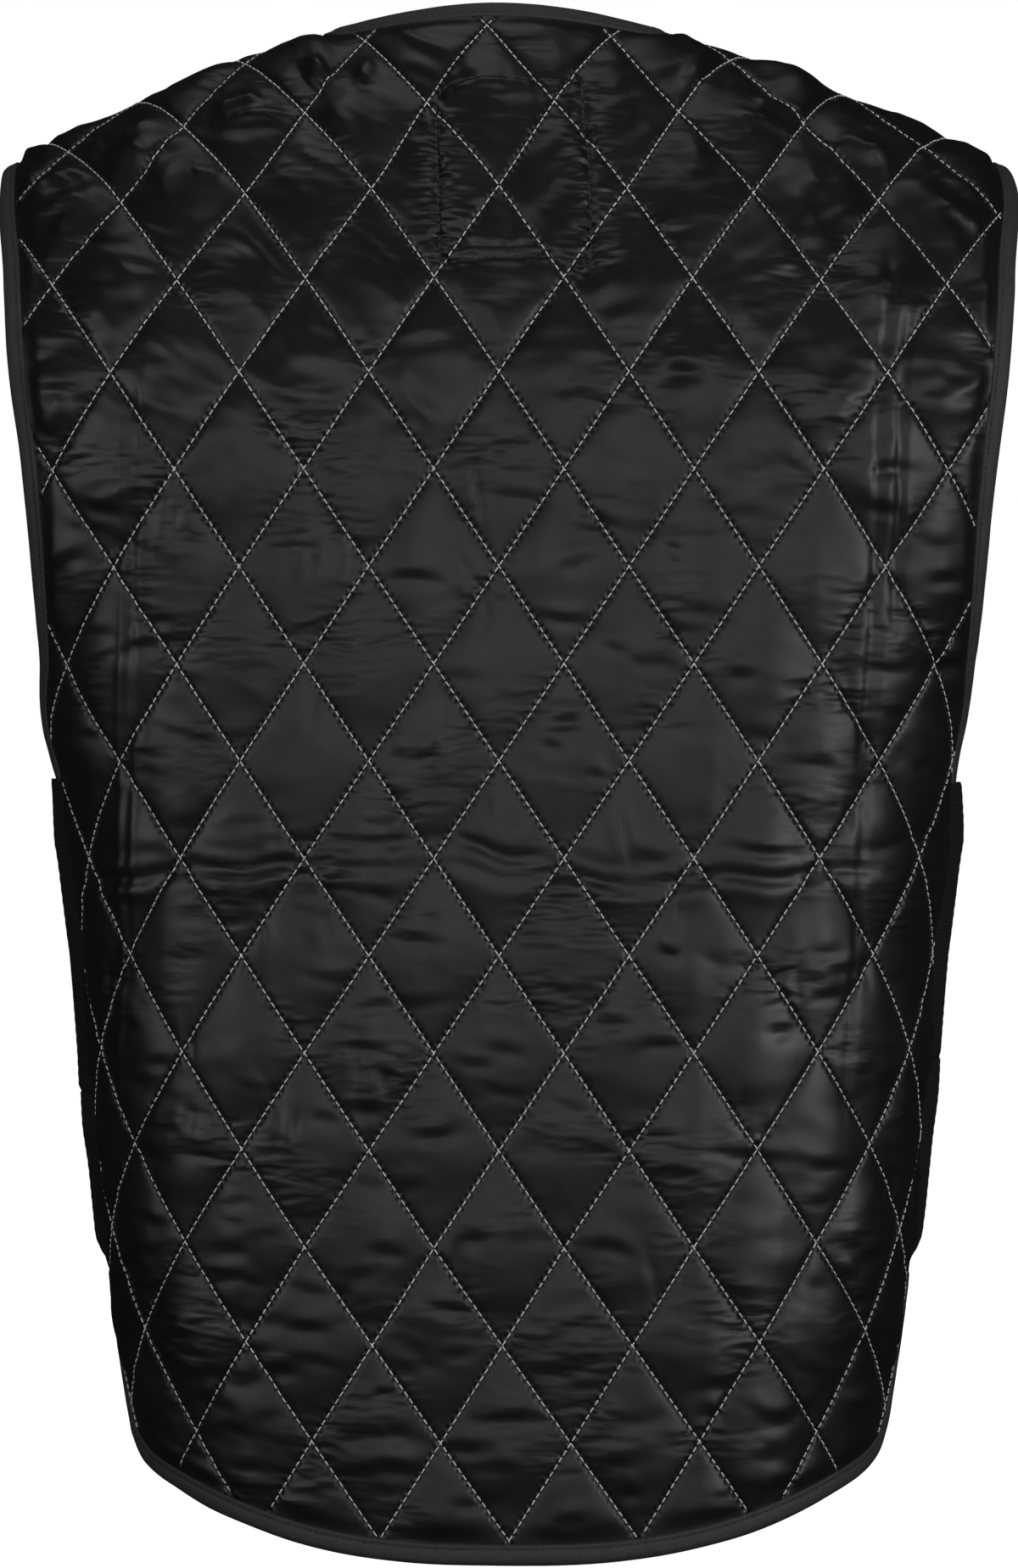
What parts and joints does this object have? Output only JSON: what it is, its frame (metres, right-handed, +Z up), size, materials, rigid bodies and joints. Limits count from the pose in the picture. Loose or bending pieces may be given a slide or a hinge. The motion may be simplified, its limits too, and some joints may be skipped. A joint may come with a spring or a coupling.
{
  "type": "cooling vest",
  "caption": "Sleeveless diamond-quilted cooling vest in its worn form, bound edges, front zip and elastic side straps, worn over clothing to cool the torso.",
  "frame": {"origin": "on the plane of symmetry, on the shoulder ridge line and at its middle height, where the vest hangs on its wearer", "axes": "+X to the wearer's left, -Y to the front, +Z up"},
  "size_m": [0.4588, 0.2495, 0.7016],
  "materials": {
    "quilted_satin": "satin twill",
    "binding_tape": "matt woven",
    "ribbed_elastic": "matt ribbed",
    "zip_plastic": "matt",
    "zip_metal": "satin"
  },
  "bodies": {
    "root": {"back_panel": "quilted_satin", "front_panel_left": "quilted_satin", "front_panel_right": "quilted_satin", "neck_binding": "binding_tape", "armhole_binding_left": "binding_tape", "armhole_binding_right": "binding_tape", "hem_binding_back": "binding_tape", "hem_binding_front_left": "binding_tape", "hem_binding_front_right": "binding_tape", "side_strap_upper_left": "ribbed_elastic", "side_strap_lower_left": "ribbed_elastic", "side_strap_upper_right": "ribbed_elastic", "side_strap_lower_right": "ribbed_elastic", "zip_tape_left": "binding_tape", "zip_tape_right": "binding_tape", "zip_teeth": "zip_plastic", "zip_slider": "zip_metal", "zip_pull": "zip_metal"}
  },
  "joints": []
}
